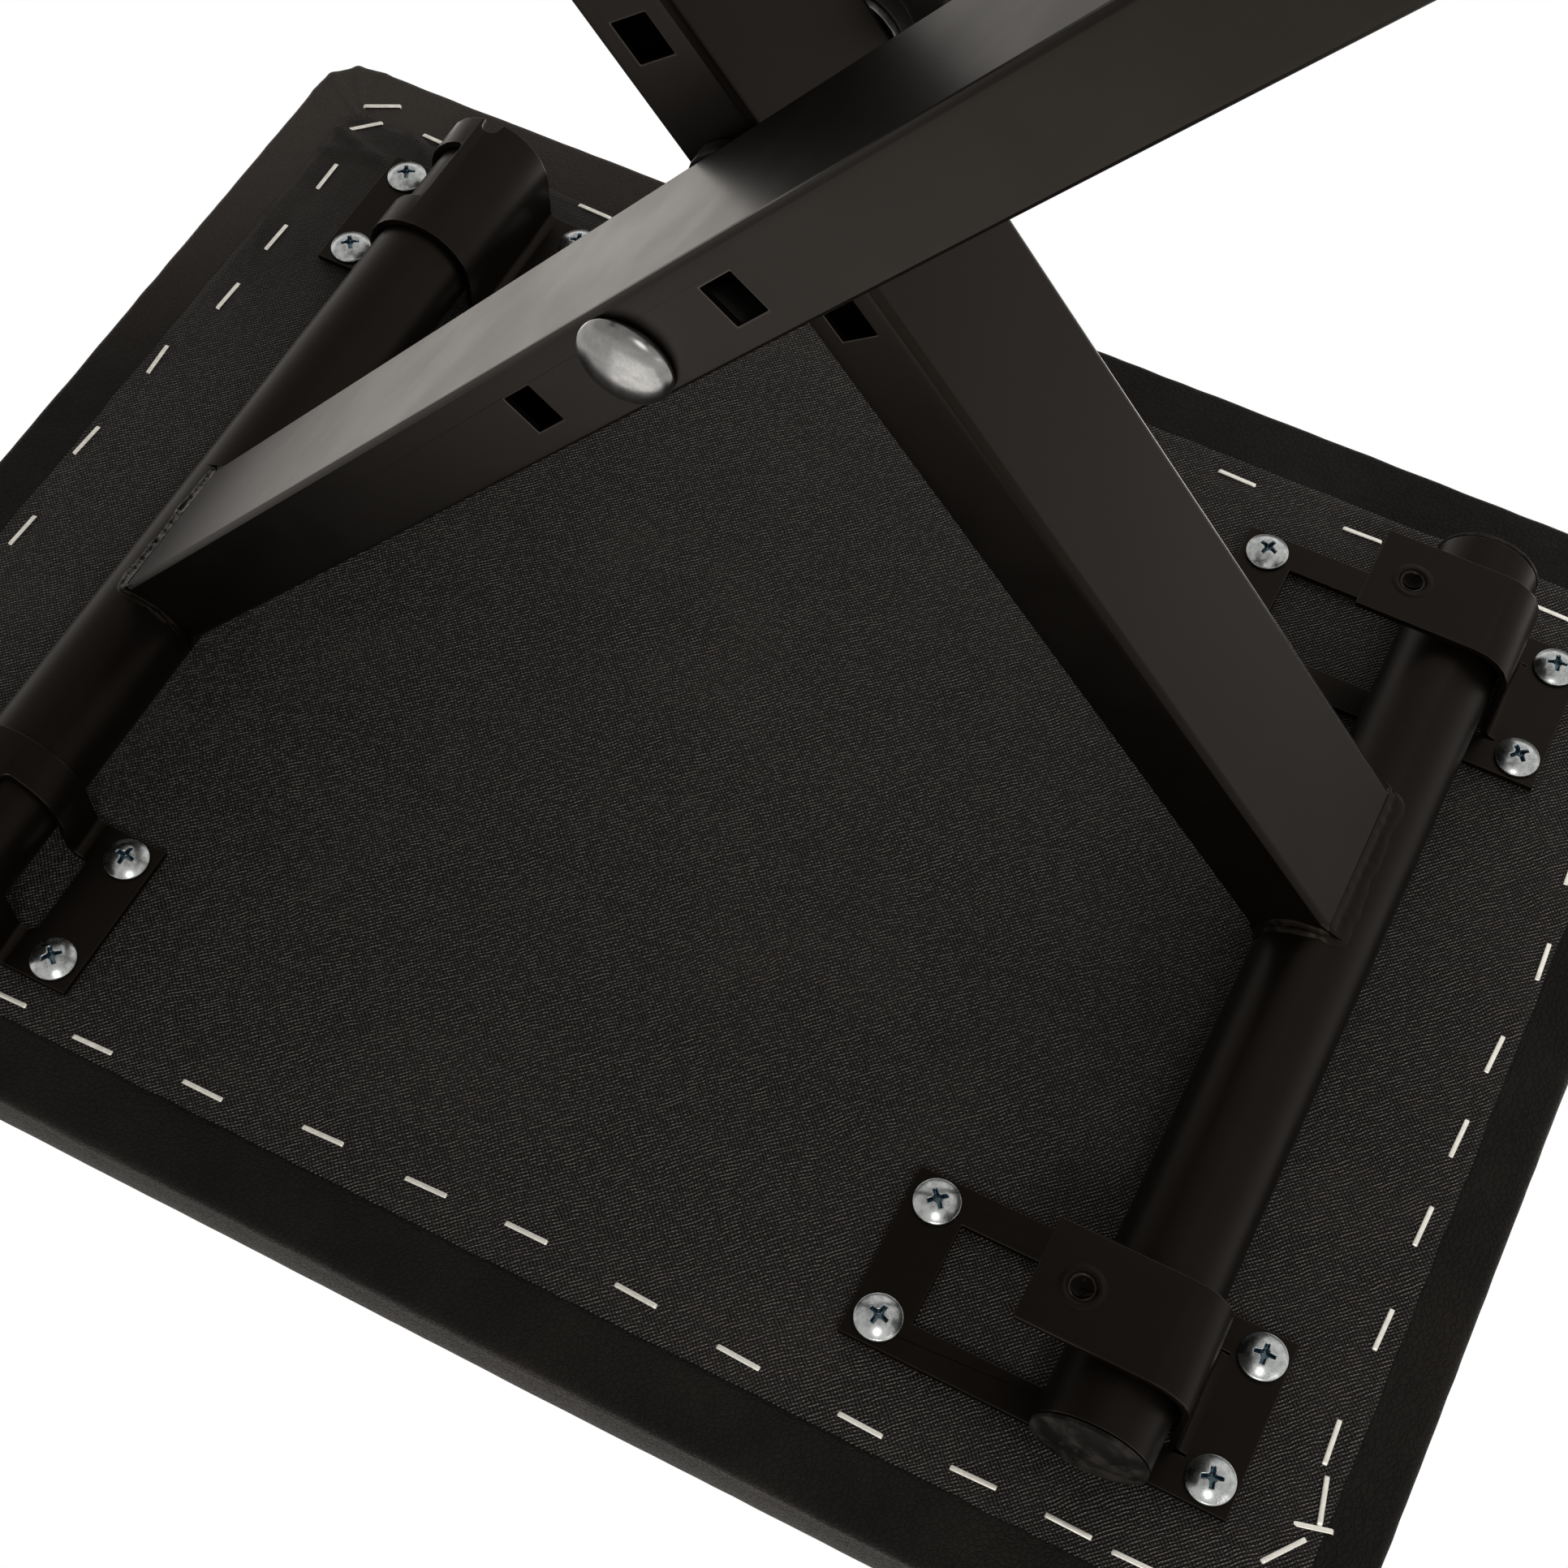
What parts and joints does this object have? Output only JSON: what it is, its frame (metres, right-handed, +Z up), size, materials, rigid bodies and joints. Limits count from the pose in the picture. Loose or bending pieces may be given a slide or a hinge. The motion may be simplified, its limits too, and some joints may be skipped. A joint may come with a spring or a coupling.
{
  "type": "folding keyboard bench",
  "caption": "Padded bench on crossed rectangular steel legs, with a bolted pivot; saddles carry a cross tube at the hinge side, and open hooks let go of the tube at the other side to fold.",
  "frame": {"origin": "on the floor, below the middle of the bench", "axes": "+X towards the hinge side, where the saddles hold a cross tube; +Y along the tubes, away from the bolt's head; +Z up"},
  "size_m": [0.5112, 0.3832, 0.5502],
  "materials": {
    "vinyl": "grained vinyl, satin",
    "foam": "open cell foam",
    "plywood": "raw plywood",
    "dust_cloth": "embossed black cloth",
    "powder_coat": "satin black powder coat",
    "zinc": "bright zinc plate",
    "black_plastic": "matte black",
    "foot_rubber": "matte black rubber"
  },
  "bodies": {
    "hinge_frame": {"hinge_leg": "powder_coat", "hinge_cross_tube": "powder_coat", "hinge_foot_bar": "powder_coat", "hinge_tube_plug_front": "black_plastic", "hinge_tube_plug_rear": "black_plastic", "hinge_foot_cap_front": "foot_rubber", "hinge_foot_cap_rear": "foot_rubber", "pivot_bolt": "zinc", "leg_spacer": "black_plastic", "pivot_washer": "zinc"},
    "hook_frame": {"hook_leg": "powder_coat", "hook_cross_tube": "powder_coat", "hook_foot_bar": "powder_coat", "hook_tube_plug_front": "black_plastic", "hook_tube_plug_rear": "black_plastic", "hook_foot_cap_front": "foot_rubber", "hook_foot_cap_rear": "foot_rubber"},
    "seat": {"seat_cover": "vinyl", "seat_foam": "foam", "seat_board": "plywood", "dust_cover": "dust_cloth", "hook_bracket_front": "powder_coat", "hook_bracket_rear": "powder_coat", "saddle_bracket_front": "powder_coat", "saddle_bracket_rear": "powder_coat", "hook_screw_front_1": "zinc", "hook_screw_front_2": "zinc", "hook_screw_front_3": "zinc", "hook_screw_front_4": "zinc", "hook_screw_rear_1": "zinc", "hook_screw_rear_2": "zinc", "hook_screw_rear_3": "zinc", "hook_screw_rear_4": "zinc", "saddle_screw_front_1": "zinc", "saddle_screw_front_2": "zinc", "saddle_screw_front_3": "zinc", "saddle_screw_front_4": "zinc", "saddle_screw_rear_1": "zinc", "saddle_screw_rear_2": "zinc", "saddle_screw_rear_3": "zinc", "saddle_screw_rear_4": "zinc"},
    "knob": {"pivot_knob": "black_plastic"}
  },
  "joints": [
    {"name": "leg_fold", "type": "hinge", "parent": "hinge_frame", "child": "hook_frame", "pos_m": [-0.004, 0, 0.25582], "axis": [0, 1, 0], "range_deg": [0, 65]},
    {"name": "seat_hinge", "type": "hinge", "parent": "hinge_frame", "child": "seat", "pos_m": [0.17, 0, 0.47135], "axis": [0, 1, 0], "range_deg": [0, 36]},
    {"name": "knob_turn", "type": "hinge", "parent": "hinge_frame", "child": "knob", "pos_m": [-0.004, 0, 0.25582], "axis": [0, 1, 0], "continuous": true}
  ],
  "couplings": [
    {"joint": "seat_hinge", "follows": "leg_fold", "ratio": 0.55}
  ]
}
